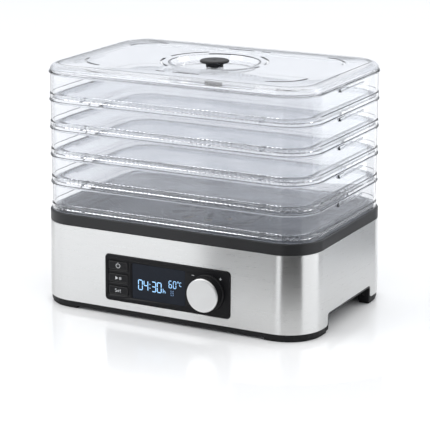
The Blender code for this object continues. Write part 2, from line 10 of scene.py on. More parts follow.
import logging
from collections.abc import Callable, Iterable, Sequence
from dataclasses import dataclass
from enum import Enum
from math import ceil, cos, hypot, radians, sin

import bmesh
import bpy
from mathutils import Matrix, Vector


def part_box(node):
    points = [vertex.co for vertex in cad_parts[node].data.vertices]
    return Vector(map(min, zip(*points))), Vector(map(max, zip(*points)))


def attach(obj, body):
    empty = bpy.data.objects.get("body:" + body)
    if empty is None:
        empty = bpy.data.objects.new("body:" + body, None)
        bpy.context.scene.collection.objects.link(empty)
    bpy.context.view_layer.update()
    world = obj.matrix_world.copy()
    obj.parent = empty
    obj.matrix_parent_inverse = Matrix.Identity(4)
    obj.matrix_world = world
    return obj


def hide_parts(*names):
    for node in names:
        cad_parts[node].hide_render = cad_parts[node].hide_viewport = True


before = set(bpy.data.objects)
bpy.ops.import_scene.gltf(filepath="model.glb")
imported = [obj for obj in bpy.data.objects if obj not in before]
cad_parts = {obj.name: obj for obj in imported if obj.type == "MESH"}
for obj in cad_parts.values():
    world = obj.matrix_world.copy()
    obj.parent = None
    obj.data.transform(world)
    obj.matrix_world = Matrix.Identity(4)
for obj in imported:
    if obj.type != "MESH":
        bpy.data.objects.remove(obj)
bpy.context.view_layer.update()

LOG = logging.getLogger("dehydrator")
MM = 0.001

Point = tuple[float, float, float]
Flat = tuple[float, float]


class Slot(Enum):
    """Names for the kind of material of each piece; fit() is given one but does not read it."""

    STEEL = "steel"
    DARK_PLASTIC = "dark_plastic"
    PANEL_BLACK = "panel_black"
    DISPLAY = "display"
    CLEAR = "clear_plastic"
    RUBBER = "rubber"
    SILVER = "dial_silver"
    KNOB = "knob_black"
    INNER = "inner_plastic"
    COMPONENT = "component_black"
    BOARD = "board"
    ZINC = "zinc"
    MICA = "mica"
    WIRE = "heater_wire"
    FAN = "fan_plastic"


class Facing(Enum):
    """Which way a plate or a turned part looks."""

    UP = "up"
    FRONT = "front"
    SIDE = "side"

    def turn(self, a: float, b: float, depth: float) -> Point:
        """Puts a flat point and its height along the axis into the object's own axes.

        Args:
            a: distance across the plate.
            b: distance up the plate.
            depth: distance along the axis that the part faces.

        Returns:
            The point in the object's axes.
        """
        if self is Facing.SIDE:
            return (depth, a, b)
        return (a, -depth, b) if self is Facing.FRONT else (a, b, depth)


# ---------------------------------------------------------------------------------------------
# Materials
# ---------------------------------------------------------------------------------------------


class Value:
    """A number socket of a shader, on which sums can be written in Python."""

    def __init__(self, surface: Surface, socket: bpy.types.NodeSocket) -> None:
        """Keeps the socket and the surface that owns it."""
        self.surface = surface
        self.socket = socket

    def _math(self, operation: str, *terms: Value | float) -> Value:
        """Adds one Math node.

        Args:
            operation: the Math node's operation.
            terms: what goes into its sockets, in order.

        Returns:
            The node's result.
        """
        node = self.surface.node("ShaderNodeMath", {"operation": operation}, dict(enumerate(terms)))
        return Value(self.surface, node.outputs[0])

    def __add__(self, other: Value | float) -> Value:
        """Self plus other."""
        return self._math("ADD", self, other)

    def __radd__(self, other: float) -> Value:
        """Other plus self."""
        return self._math("ADD", other, self)

    def __sub__(self, other: Value | float) -> Value:
        """Self less other."""
        return self._math("SUBTRACT", self, other)

    def __rsub__(self, other: float) -> Value:
        """Other less self."""
        return self._math("SUBTRACT", other, self)

    def __mul__(self, other: Value | float) -> Value:
        """Self times other."""
        return self._math("MULTIPLY", self, other)

    def __rmul__(self, other: float) -> Value:
        """Other times self."""
        return self._math("MULTIPLY", other, self)


Feed = "Value | bpy.types.NodeSocket | float | Sequence[float]"


class Surface:
    """The nodes of a material or a world while they are being put together."""

    def __init__(self, owner: bpy.types.Material | bpy.types.World) -> None:
        """Empties a node tree.

        Args:
            owner: whose nodes they are.
        """
        self.owner = owner
        owner.use_nodes = True
        self.tree = owner.node_tree
        self.tree.nodes.clear()

    def node(self, kind: str, settings: dict[str, object] | None = None,
             feeds: dict[str | int, Feed] | None = None) -> bpy.types.Node:
        """Adds a node.

        Args:
            kind: the node's type.
            settings: its own settings, put in first. "stops" holds a ramp's (place, colour) pairs.
            feeds: a link or a fixed value for each socket, by name or number.

        Returns:
            The node.
        """
        made = self.tree.nodes.new(kind)
        for key, value in (settings or {}).items():
            if key == "stops":
                ramp = made.color_ramp.elements
                while len(ramp) < len(value):
                    ramp.new(1.0)
                for stop, (place, colour) in zip(ramp, value):
                    stop.position, stop.color = place, (*colour, 1)
            else:
                setattr(made, key, value)
        for key, value in (feeds or {}).items():
            source = value.socket if isinstance(value, Value) else value
            if isinstance(source, bpy.types.NodeSocket):
                self.tree.links.new(source, made.inputs[key])
            else:
                made.inputs[key].default_value = source
        return made

    def places(self, stretch: Point = (1, 1, 1)) -> bpy.types.NodeSocket:
        """The piece's own coordinates, stretched.

        Args:
            stretch: what each axis is multiplied by.

        Returns:
            The vector socket.
        """
        own = self.node("ShaderNodeTexCoord").outputs["Object"]
        return self.node("ShaderNodeVectorMath", {"operation": "MULTIPLY"},
                         {0: own, 1: stretch}).outputs["Vector"]

    def noise(self, scale: float, detail: float = 3.0, stretch: Point = (1, 1, 1)) -> Value:
        """Soft noise over the piece.

        Args:
            scale: features to the metre.
            detail: how many finer layers it has.
            stretch: what each axis is multiplied by.

        Returns:
            A number from 0 to 1.
        """
        made = self.node("ShaderNodeTexNoise", None, {
            "Vector": self.places(stretch), "Scale": scale, "Detail": detail})
        return Value(self, made.outputs["Fac"])

    def blend(self, factor: Value, first: Sequence[float], second: Sequence[float]
              ) -> bpy.types.NodeSocket:
        """Mixes two colours.

        Args:
            factor: 0 for the first colour, 1 for the second.
            first: a colour.
            second: a colour.

        Returns:
            The mixed colour.
        """
        mix = self.node("ShaderNodeMix", {"data_type": "RGBA"},
                        {0: factor, 6: (*first, 1), 7: (*second, 1)})
        return mix.outputs[2]

    def bump(self, height: Value, depth: float, strength: float = 1.0) -> bpy.types.NodeSocket:
        """Turns a height into a normal.

        Args:
            height: the height map.
            depth: metres between its lowest and highest.
            strength: how much of it shows.

        Returns:
            The normal.
        """
        return self.node("ShaderNodeBump", None, {
            "Height": height, "Distance": depth, "Strength": strength}).outputs["Normal"]

    def output(self, kind: str, shader: bpy.types.Node) -> None:
        """Joins the last shader node to an output node of the given kind."""
        self.node(kind, None, {"Surface": shader.outputs[0]})


_MADE: dict[object, bpy.types.Material] = {}


@dataclass(frozen=True)
class Finish:
    """Moulded plastic with a fine grain, and the base of the other finishes."""

    name: str
    colour: Point
    roughness: float = 0.45
    metallic: float = 0.0
    coat: float = 0.0
    specular: float = 0.5
    grain: float = 1600.0
    grain_depth: float = 0.00003
    mottle: float = 0.12

    def material(self) -> bpy.types.Material:
        """Makes the material the first time it is asked for.

        Returns:
            The material.
        """
        if self not in _MADE:
            surface = Surface(bpy.data.materials.new(self.name))
            surface.output("ShaderNodeOutputMaterial", self.shader(surface))
            _MADE[self] = surface.owner
        return _MADE[self]

    def shades(self) -> tuple[Point, Point]:
        """The darkest and the lightest colour that the finish varies between."""
        return (tuple(c * (1 - self.mottle) for c in self.colour),
                tuple(min(1.0, c * (1 + self.mottle)) for c in self.colour))

    def shader(self, surface: Surface) -> bpy.types.Node:
        """The last shader node, which the finish's own sockets feed."""
        return surface.node("ShaderNodeBsdfPrincipled", None, self.sockets(surface))

    def sockets(self, surface: Surface) -> dict[str, Feed]:
        """Works out what goes into the Principled shader.

        Args:
            surface: where the nodes are made.

        Returns:
            A link or a fixed value for each socket.
        """
        patches = surface.noise(35.0, 4.0)
        grain = surface.noise(self.grain, 2.0)
        return {"Base Color": surface.blend(patches, *self.shades()),
                "Roughness": self.roughness + (patches - 0.5) * 0.14 + (grain - 0.5) * 0.10,
                "Metallic": self.metallic,
                "Specular IOR Level": self.specular,
                "Coat Weight": self.coat,
                "Coat Roughness": 0.08,
                "Normal": surface.bump(grain, self.grain_depth)}


@dataclass(frozen=True)
class BrushedSteel(Finish):
    """Stainless steel with its grain running level round the base."""

    along: float = 22.0
    across: float = 1900.0

    def sockets(self, surface: Surface) -> dict[str, Feed]:
        """Strokes that are long round the base and narrow up it, under finer ones.

        Args:
            surface: where the nodes are made.

        Returns:
            A link or a fixed value for each socket.
        """
        stroke = surface.noise(1.0, 4.0, (self.along, self.along, self.across))
        fine = surface.noise(1.0, 2.0, (self.along * 6, self.along * 6, self.across * 3))
        lines = stroke * 0.6 + fine * 0.4
        return {"Base Color": surface.blend(lines, *self.shades()),
                "Roughness": self.roughness + (lines - 0.5) * 0.12,
                "Metallic": self.metallic,
                "Anisotropic": 0.75,
                "Anisotropic Rotation": 0.25,
                "Normal": surface.bump(lines, self.grain_depth, 0.5)}


@dataclass(frozen=True)
class SpunMetal(Finish):
    """Metal turned on a lathe: fine rings round the piece's own Y axis."""

    rings: float = 2600.0

    def sockets(self, surface: Surface) -> dict[str, Feed]:
        """Noise that changes with the distance from the axis only.

        Args:
            surface: where the nodes are made.

        Returns:
            A link or a fixed value for each socket.
        """
        flat = surface.places((1, 0, 1))
        radius = Value(surface, surface.node("ShaderNodeVectorMath", {"operation": "LENGTH"},
                                             {0: flat}).outputs["Value"])
        ring = surface.node("ShaderNodeTexNoise", {"noise_dimensions": "1D"}, {
            "W": self.rings * radius, "Scale": 1.0, "Detail": 2.0})
        lines = Value(surface, ring.outputs["Fac"])
        return {"Base Color": surface.blend(lines, *self.shades()),
                "Roughness": self.roughness + (lines - 0.5) * 0.16,
                "Metallic": self.metallic,
                "Normal": surface.bump(lines, self.grain_depth, 0.4)}


@dataclass(frozen=True)
class ClearPlastic(Finish):
    """Clear moulded plastic. Light that only passes on its way to other pieces goes through it."""

    ior: float = 1.45
    shade: Point = (0.86, 0.90, 0.95)

    def sockets(self, surface: Surface) -> dict[str, Feed]:
        """A clear body with a slight flow in it and a slight haze on it.

        Args:
            surface: where the nodes are made.

        Returns:
            A link or a fixed value for each socket.
        """
        flow = surface.noise(18.0, 2.0)
        haze = surface.noise(420.0, 3.0)
        return {"Base Color": surface.blend(flow, *self.shades()),
                "Roughness": self.roughness + (haze - 0.5) * self.roughness,
                "Transmission Weight": 1.0,
                "IOR": self.ior,
                "Normal": surface.bump(flow, self.grain_depth)}

    def shader(self, surface: Surface) -> bpy.types.Node:
        """The clear body, or a plain tint where a shadow is worked out.

        Args:
            surface: where the nodes are made.

        Returns:
            The last shader node.
        """
        body = super().shader(surface)
        through = surface.node("ShaderNodeBsdfTransparent", None, {"Color": (*self.shade, 1)})
        shadow = surface.node("ShaderNodeLightPath").outputs["Is Shadow Ray"]
        return surface.node("ShaderNodeMixShader", None, {
            0: shadow, 1: body.outputs[0], 2: through.outputs[0]})


@dataclass(frozen=True)
class Glow(Finish):
    """Something lit, such as a segment of the display."""

    strength: float = 1.0

    def sockets(self, surface: Surface) -> dict[str, Feed]:
        """A colour that shines as well.

        Args:
            surface: where the nodes are made.

        Returns:
            A link or a fixed value for each socket.
        """
        cells = surface.noise(700.0, 2.0)
        lit = surface.blend(cells, *self.shades())
        return {"Base Color": lit, "Roughness": 0.3 + cells * 0.1, "Emission Color": lit,
                "Emission Strength": self.strength}


STEEL = BrushedSteel("brushed_steel", (0.71, 0.71, 0.70), 0.29, 1.0, mottle=0.045,
                     grain_depth=0.000007)
TRIM = Finish("trim_plastic", (0.018, 0.018, 0.019), 0.40, specular=0.32)
PAN = Finish("pan_plastic", (0.007, 0.007, 0.008), 0.5, specular=0.25)
DECK = Finish("deck_plastic", (0.014, 0.015, 0.020), 0.38, specular=0.35)
PANEL = Finish("panel_black", (0.007, 0.007, 0.008), 0.34, specular=0.16, grain=2400.0,
               grain_depth=0.00001)
KEY = Finish("key_black", (0.009, 0.009, 0.010), 0.38, specular=0.18, grain=2400.0,
             grain_depth=0.00001)
SCREEN = Finish("display_glass", (0.008, 0.011, 0.018), 0.16, specular=0.18, grain_depth=0.000003)
CLEAR = ClearPlastic("clear_plastic", (0.952, 0.958, 0.972), 0.012, mottle=0.004,
                     grain_depth=0.00002)
NET = ClearPlastic("net_plastic", (0.93, 0.942, 0.965), 0.05, mottle=0.02, ior=1.49,
                   grain_depth=0.00002)
RUBBER = Finish("foot_rubber", (0.010, 0.010, 0.010), 0.75, specular=0.3, grain=900.0)
SILVER = SpunMetal("dial_silver", (0.80, 0.80, 0.79), 0.34, 1.0, mottle=0.05, grain_depth=0.000015)
KNOB = Finish("knob_plastic", (0.010, 0.010, 0.011), 0.46, specular=0.28, grain=1300.0)
PRINT = Finish("key_print", (0.62, 0.63, 0.64), 0.5, mottle=0.06)
DIM_PRINT = Finish("key_outline", (0.045, 0.045, 0.045), 0.5, mottle=0.06)
LIT = Glow("lit_digit", (0.33, 0.60, 0.92), mottle=0.08, strength=0.62)
FAINT = Glow("faint_digit", (0.16, 0.27, 0.46), mottle=0.08, strength=0.5)
INNER = Finish("inner_plastic", (0.06, 0.06, 0.065), 0.5)
COMPONENT = Finish("component_black", (0.02, 0.02, 0.022), 0.42)
BOARD = Finish("circuit_board", (0.02, 0.16, 0.06), 0.4, coat=0.3, grain=500.0, mottle=0.3)
ZINC = Finish("zinc_plate", (0.60, 0.60, 0.58), 0.38, 1.0)
MICA = Finish("mica_sheet", (0.50, 0.42, 0.30), 0.6, grain=300.0, grain_depth=0.0002, mottle=0.25)
WIRE = Finish("heater_wire", (0.34, 0.32, 0.29), 0.4, 1.0)
FAN = Finish("fan_plastic", (0.52, 0.52, 0.50), 0.5)
BLACK_CARD = Finish("black_card", (0.010, 0.010, 0.011), 0.9, specular=0.1)
GREY_CARD = Finish("grey_card", (0.36, 0.36, 0.36), 0.9, specular=0.1)
WHITE_CARD = Glow("white_card", (0.93, 0.96, 1.0), mottle=0.03, strength=1.25)

CARRIED = {
    PAN: ("bottom_pan",),
    DECK: ("base_deck", "air_outlet_grille"),
    RUBBER: ("foot_front_left", "foot_front_right", "foot_rear_left", "foot_rear_right",
             "cord_gland"),
    INNER: ("fan_duct",),
    COMPONENT: ("lcd_module", "power_switch", "start_pause_switch", "set_switch",
                "mains_capacitor", "heater_relay", "transformer", "thermal_cutout"),
    BOARD: ("control_board", "power_board"),
    ZINC: ("encoder_body", "encoder_shaft", "fan_motor", "motor_shaft", "motor_screw_1",
           "motor_screw_2", "base_screw_1", "base_screw_2", "base_screw_3", "base_screw_4",
           "lid_knob_screw", "temperature_sensor"),
    MICA: ("heater_frame",),
    WIRE: ("heater_coil",),
    FAN: ("fan_impeller",),
}


# ---------------------------------------------------------------------------------------------
# Mesh work
# ---------------------------------------------------------------------------------------------


QUARTERS = ((1, 1), (-1, 1), (-1, -1), (1, -1))
ROUND_STEPS = 96


def arc(radius: float, start: float, end: float, steps: int, at: Flat = (0, 0)) -> list[Flat]:
    """Points along an arc, with both of its ends.

    Args:
        radius: the arc's radius.
        start: where it starts, in degrees from the right.
        end: where it ends.
        steps: how many stretches it has.
        at: its middle.

    Returns:
        The points.
    """
    turns = [radians(start + (end - start) * i / steps) for i in range(steps + 1)]
    return [(at[0] + radius * cos(a), at[1] + radius * sin(a)) for a in turns]


def circle(radius: float, steps: int = ROUND_STEPS, at: Flat = (0, 0)) -> list[Flat]:
    """Points round a whole circle."""
    return arc(radius, 0, 360, steps, at)[:-1]


def bend(start: Flat, reach: Flat, steps: int) -> list[Flat]:
    """A quarter of an ellipse that leaves a point upright and ends level."""
    turns = [radians(90 * i / steps) for i in range(steps + 1)]
    return [(start[0] + reach[0] * (1 - cos(a)), start[1] + reach[1] * sin(a)) for a in turns]


def raised(section: Sequence[Flat], level: float) -> list[Flat]:
    """A section of (inset or radius, height) points moved up to a level."""
    return [(inset, level + height) for inset, height in section]


def placed(name: str, data: bpy.types.ID) -> bpy.types.Object:
    """Puts a new object into the scene.

    Args:
        name: its name.
        data: its mesh, lamp or camera.

    Returns:
        The object.
    """
    obj = bpy.data.objects.new(name, data)
    bpy.context.scene.collection.objects.link(obj)
    return obj


@dataclass(frozen=True)
class Footprint:
    """A rectangle with round corners, from which the sections of a piece are taken."""

    half_x: float
    half_y: float
    radius: float
    steps: int = 14

    def loop(self, inset: float = 0.0, at: Flat = (0, 0)) -> list[Flat]:
        """Its outline, counterclockwise from the right.

        Args:
            inset: how far the outline is moved in.
            at: where its middle lies.

        Returns:
            The points.
        """
        radius = max(self.radius - inset, 0.2)
        x, y = self.half_x - inset - radius, self.half_y - inset - radius
        points = []
        for quarter, (sx, sy) in enumerate(QUARTERS):
            middle = (at[0] + sx * x, at[1] + sy * y)
            points += arc(radius, 90 * quarter, 90 * quarter + 90, self.steps, middle)
        return points

    def walk(self, inset: float, pitch: float) -> list[tuple[Flat, Flat]]:
        """Points at an even spacing along the outline, each with the way out from it.

        Args:
            inset: how far the outline is moved in.
            pitch: about how far apart the points are.

        Returns:
            (point, outward direction) pairs.
        """
        corners = self.loop(inset)
        sides = list(zip(corners, corners[1:] + corners[:1]))
        lengths = [hypot(b[0] - a[0], b[1] - a[1]) for a, b in sides]
        count = round(sum(lengths) / pitch)
        spacing = sum(lengths) / count
        walked, side, found = 0.0, 0, []
        for number in range(count):
            while walked + lengths[side] < number * spacing:
                walked += lengths[side]
                side += 1
            (ax, ay), (bx, by) = sides[side]
            share = (number * spacing - walked) / max(lengths[side], 1e-9)
            way = ((by - ay) / lengths[side], -(bx - ax) / lengths[side])
            found.append(((ax + (bx - ax) * share, ay + (by - ay) * share), way))
        return found

    def chord(self, inset: float, offset: float, slope: int) -> tuple[Flat, Flat] | None:
        """The stretch of a slanted line that lies inside the outline.

        Args:
            inset: how far the outline is moved in.
            offset: where the line crosses the X axis.
            slope: 1 or -1, for a line that rises or falls at 45 degrees.

        Returns:
            Its two ends, or None where it misses.
        """
        corners, found = self.loop(inset), []
        for (ax, ay), (bx, by) in zip(corners, corners[1:] + corners[:1]):
            a, b = ax - slope * ay - offset, bx - slope * by - offset
            if (a < 0) != (b < 0):
                share = a / (a - b)
                found.append((ax + (bx - ax) * share, ay + (by - ay) * share))
        return (found[0], found[1]) if len(found) == 2 else None


STACK = Footprint(168.0, 111.0, 41.0)
HOUSING = Footprint(168.0, 111.0, 41.0, 24)


class Mould:
    """A mesh that is being shaped, in millimetres."""

    def __init__(self, facing: Facing = Facing.UP) -> None:
        """Starts an empty mesh whose plates and turned parts face the given way."""
        self.bm = bmesh.new()
        self.facing = facing

    def ring(self, points: Iterable[Flat], height: float) -> list[bmesh.types.BMVert]:
        """A loop of points at one height.

        Args:
            points: the loop in the plane.
            height: its height along the axis.

        Returns:
            The vertices.
        """
        return [self.bm.verts.new(Vector(self.facing.turn(a, b, height)) * MM) for a, b in points]

    def skin(self, rings: Sequence[list[bmesh.types.BMVert]], closed: bool = False) -> None:
        """Covers the way from each ring to the next.

        Args:
            rings: loops with as many points each.
            closed: whether the last ring is joined to the first.
        """
        pairs = list(zip(rings, rings[1:])) + ([(rings[-1], rings[0])] if closed else [])
        for lower, upper in pairs:
            for i in range(len(lower)):
                self.bm.faces.new((lower[i - 1], lower[i], upper[i], upper[i - 1]))

    def frame(self, shape: Footprint, section: Sequence[Flat], at: Flat = (0, 0)) -> Mould:
        """A closed hoop: a section of (inset, height) points run round a footprint."""
        self.skin([self.ring(shape.loop(inset, at), height) for inset, height in section], True)
        return self

    def solid(self, rings: Sequence[list[bmesh.types.BMVert]]) -> Mould:
        """Covers the way from each ring to the next and closes both ends.

        Args:
            rings: loops with as many points each.

        Returns:
            Itself.
        """
        self.skin(rings)
        self.bm.faces.new(rings[0])
        self.bm.faces.new(rings[-1])
        return self

    def slab(self, shape: Footprint, section: Sequence[Flat], at: Flat = (0, 0)) -> Mould:
        """A solid between its first and last (inset, height) sections."""
        return self.solid([self.ring(shape.loop(inset, at), height) for inset, height in section])

    def extrude(self, outline: Sequence[Flat], low: float, high: float) -> Mould:
        """A flat outline made solid between two heights."""
        return self.solid([self.ring(outline, low), self.ring(outline, high)])

    def turned(self, profile: Sequence[Flat], steps: int = 64, at: Flat = (0, 0),
               closed: bool = False) -> Mould:
        """A profile of (radius, height) points turned about the axis.

        Args:
            profile: from one end on the axis to the other, or a closed section.
            steps: facets round the axis.
            at: where the axis stands.
            closed: whether the profile is a closed section away from the axis.

        Returns:
            Itself.
        """
        rings = [self.ring(circle(radius, steps, at), height) for radius, height in profile]
        if closed:
            self.skin(rings, True)
            return self
        return self.solid(rings)

    def bar(self, start: Point, end: Point, width: float, height: float) -> Mould:
        """A straight strand of rectangular section with its long sides upright.

        Args:
            start: middle of one end.
            end: middle of the other.
            width: level thickness.
            height: upright thickness.

        Returns:
            Itself.
        """
        along = Vector(end) - Vector(start)
        across = Vector((-along.y, along.x, 0)).normalized() * width / 2
        up = Vector((0, 0, height / 2))
        rings = [[self.bm.verts.new((Vector(point) + s * across + t * up) * MM)
                  for s, t in QUARTERS] for point in (start, end)]
        return self.solid(rings)

    def pierced(self, faces: Sequence[tuple[list[bmesh.types.BMVert], float]],
                holes: Sequence[Sequence[Flat]],
                rims: Sequence[Sequence[list[bmesh.types.BMVert]]] = ((), ())) -> Mould:
        """Closes two outlines with flat faces that have the same holes through both.

        Args:
            faces: (outline's vertices, height) for each of the two faces.
            holes: the outline of each hole.
            rims: for each face, the rings that it leaves open besides.

        Returns:
            Itself.
        """
        walls = [[self.ring(hole, height) for hole in holes] for _, height in faces]
        for (outer, _), inner, own in zip(faces, walls, rims):
            edges = []
            for loop in [outer, *inner, *own]:
                for i in range(len(loop)):
                    pair = (loop[i - 1], loop[i])
                    edges.append(self.bm.edges.get(pair) or self.bm.edges.new(pair))
            bmesh.ops.triangle_fill(self.bm, use_beauty=True, edges=edges)
        for low, high in zip(*walls):
            self.skin([low, high])
        return self

    def piece(self, name: str, edge: float = 0.0, flat: bool = False) -> bpy.types.Object:
        """Ends the shaping.

        Args:
            name: the piece's name.
            edge: how far its sharp edges are rounded.
            flat: whether its faces are shaded flat.

        Returns:
            The object, in the CAD model's place.
        """
        bmesh.ops.recalc_face_normals(self.bm, faces=self.bm.faces)
        mesh = bpy.data.meshes.new(name)
        self.bm.to_mesh(mesh)
        self.bm.free()
        obj = placed(name, mesh)
        if not flat:
            mesh.shade_smooth()
            self.soften(obj, edge)
        obj.location = BASE_MIDDLE
        return obj

    @staticmethod
    def soften(obj: bpy.types.Object, edge: float) -> None:
        """Rounds the sharp edges and keeps the broad faces level in the shading.

        Args:
            obj: the piece.
            edge: how far its sharp edges are rounded.
        """
        if edge:
            bevel = obj.modifiers.new("round_edges", "BEVEL")
            bevel.width, bevel.segments = edge * MM, 2
            bevel.limit_method, bevel.angle_limit = "ANGLE", radians(32)
            bevel.use_clamp_overlap = True
        level = obj.modifiers.new("level_shading", "WEIGHTED_NORMAL")
        level.weight = 90


def middle_of(node: str) -> Vector:
    """The middle of a CAD node's box."""
    low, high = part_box(node)
    return (low + high) / 2


BASE_MIDDLE = Vector((0, middle_of("top_trim_ring").y, 0))


def face_of(node: str) -> float:
    """How far forward a CAD node's front face stands from the middle of the base."""
    return -(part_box(node)[0].y - BASE_MIDDLE.y) / MM


def place_of(node: str) -> tuple[Flat, Flat]:
    """The middle and the half size of a CAD node seen from the front."""
    middle, half = middle_of(node) / MM, (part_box(node)[1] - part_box(node)[0]) / 2 / MM
    return (middle.x, middle.z), (half.x, half.z)


def hollow(obj: bpy.types.Object, cutters: Iterable[bpy.types.Object]) -> bpy.types.Object:
    """Cuts helpers out of a piece for good and removes them.

    Args:
        obj: the piece, before its edges are rounded.
        cutters: closed helpers in the same place.

    Returns:
        The piece.
    """
    helpers = list(cutters)
    for helper in helpers:
        cut = obj.modifiers.new("cut", "BOOLEAN")
        cut.operation, cut.solver, cut.object = "DIFFERENCE", "EXACT", helper
    bpy.context.view_layer.update()
    graph = bpy.context.evaluated_depsgraph_get()
    mesh = bpy.data.meshes.new_from_object(obj.evaluated_get(graph))
    obj.modifiers.clear()
    obj.data = mesh
    for helper in helpers:
        bpy.data.objects.remove(helper, do_unlink=True)
    mesh.shade_smooth()
    return obj


def fit(obj: bpy.types.Object, finish: Finish, body: str, slot: Slot, *nodes: str
        ) -> bpy.types.Object:
    """Dresses a piece and hangs it on its body.

    Args:
        obj: the piece.
        finish: what it is made of.
        body: the CAD body that it moves with.
        slot: not used.
        nodes: CAD nodes that it stands for.

    Returns:
        The piece.
    """
    obj.data.materials.clear()
    obj.data.materials.append(finish.material())
    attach(obj, body)
    if nodes:
        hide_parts(*nodes)
    LOG.info("%s: %s on %s", obj.name, finish.name, body)
    return obj


# ---------------------------------------------------------------------------------------------
# The base
# ---------------------------------------------------------------------------------------------


@dataclass
class Base:
    """The steel sleeve with its handholds, and the dark ring on top of it."""

    bottom: float = 8.5
    top: float = 96.0
    flare: float = 1.3
    thick: float = 1.2
    grip_half: float = 58.0
    grip_top: float = 22.5
    grip_flare: float = 3.2
    grip_corner: float = 4.0
    lining: float = 1.7
    lining_bottom: float = 3.6
    lining_reach: Flat = (160.0, 168.9)
    trim_top: float = 108.85
    trim_wall: float = 4.4
    trim_foot: Flat = (1.7, 88.0)
    ledge_inset: float = 12.0
    ledge: Flat = (95.5, 97.9)
    panel_gap: float = 0.3
    gland_hole: float = 6.6

    def grip_outline(self, inset: float) -> list[Flat]:
        """The handhold's opening, seen from the side.

        Args:
            inset: how far the outline is moved in.

        Returns:
            (y, z) points.
        """
        half, top = self.grip_half - inset, self.grip_top - inset
        flare, corner = self.grip_flare, self.grip_corner
        points = [(-half - flare, -5.0), (-half - flare, self.bottom + 0.4)]
        points += [(-half - flare + flare * sin(a), self.bottom + 3.4 - 3.0 * cos(a))
                   for a in (radians(30), radians(60), radians(90))]
        points += [(-half + corner * (1 - cos(a)), top - corner + corner * sin(a))
                   for a in (0, radians(30), radians(60), radians(90))]
        return points + [(-y, z) for y, z in reversed(points)]

    def sleeve(self) -> None:
        """The steel sleeve, cut for the two handholds, the panel and the cord's gland."""
        body = Mould().frame(HOUSING, (
            (-self.flare, self.bottom), (0, self.top), (self.thick, self.top),
            (self.thick - self.flare, self.bottom))).piece("steel_sleeve")
        at, half = place_of("control_panel")
        opening = Footprint(half[0] + self.panel_gap, half[1] + self.panel_gap, 4.8, 8)
        panel = Mould(Facing.FRONT).slab(opening, ((0, 100), (0, 120)), (0, at[1]))
        cord = Mould(Facing.FRONT).turned(
            ((0.1, -120), (self.gland_hole, -120), (self.gland_hole, -100), (0.1, -100)), 32,
            place_of("cord_gland")[0])
        grip = Mould(Facing.SIDE).extrude(self.grip_outline(0), -200, 200)
        hollow(body, (panel.piece("cut_panel"), cord.piece("cut_gland"), grip.piece("cut_grip")))
        Mould.soften(body, 0.55)
        fit(body, STEEL, "base", Slot.STEEL, "steel_housing")

    def linings(self) -> None:
        """The dark edge that shows inside each handhold."""
        outer, inner = ([(y, max(z, self.lining_bottom)) for y, z in self.grip_outline(inset)]
                        for inset in (0.25, self.lining))
        for side, name in ((1, "right"), (-1, "left")):
            mould = Mould(Facing.SIDE)
            low, high = sorted(side * reach for reach in self.lining_reach)
            rings = [mould.ring(outline, x) for x, outline in (
                (low, outer), (high, outer), (high, inner), (low, inner))]
            for first, second in zip(rings, rings[1:] + rings[:1]):
                for i in range(1, len(first)):
                    mould.bm.faces.new((first[i - 1], first[i], second[i], second[i - 1]))
            for end in (0, -1):
                mould.bm.faces.new([ring[end] for ring in rings])
            fit(mould.piece(f"grip_lining_{name}", 0.3), TRIM, "base", Slot.DARK_PLASTIC)

    def trim(self) -> None:
        """The dark ring between the steel and the first tray."""
        top, low = self.trim_top, self.top + 0.3
        wall, (skirt, foot), (under, over) = self.trim_wall, self.trim_foot, self.ledge
        ring = Mould().frame(HOUSING, (
            (0.0, low), (0.0, top - 1.4), (0.35, top - 0.5), (1.1, top), (wall, top),
            (wall, over), (self.ledge_inset, over), (self.ledge_inset, under), (wall, under),
            (wall, foot), (skirt, foot), (skirt, low)))
        fit(ring.piece("trim_ring", 0.25), TRIM, "base", Slot.DARK_PLASTIC, "top_trim_ring")

    def make(self) -> None:
        """Builds the base's shell."""
        self.sleeve()
        self.linings()
        self.trim()


# ---------------------------------------------------------------------------------------------
# The control panel
# ---------------------------------------------------------------------------------------------


class Segment(Enum):
    """The bars of a seven-bar digit, as (column, row, upright) in half-digit steps."""

    TOP = (0, 2, False)
    MIDDLE = (0, 1, False)
    BOTTOM = (0, 0, False)
    UPPER_LEFT = (-1, 1, True)
    UPPER_RIGHT = (1, 1, True)
    LOWER_LEFT = (-1, 0, True)
    LOWER_RIGHT = (1, 0, True)


_S = Segment
DIGITS: dict[str, tuple[Segment, ...]] = {
    "0": (_S.TOP, _S.BOTTOM, _S.UPPER_LEFT, _S.UPPER_RIGHT, _S.LOWER_LEFT, _S.LOWER_RIGHT),
    "3": (_S.TOP, _S.MIDDLE, _S.BOTTOM, _S.UPPER_RIGHT, _S.LOWER_RIGHT),
    "4": (_S.MIDDLE, _S.UPPER_LEFT, _S.UPPER_RIGHT, _S.LOWER_RIGHT),
    "6": (_S.TOP, _S.MIDDLE, _S.BOTTOM, _S.UPPER_LEFT, _S.LOWER_LEFT, _S.LOWER_RIGHT),
    "h": (_S.MIDDLE, _S.UPPER_LEFT, _S.LOWER_LEFT, _S.LOWER_RIGHT),
    "C": (_S.TOP, _S.BOTTOM, _S.UPPER_LEFT, _S.LOWER_LEFT),
}


HOOP_STEPS = 24


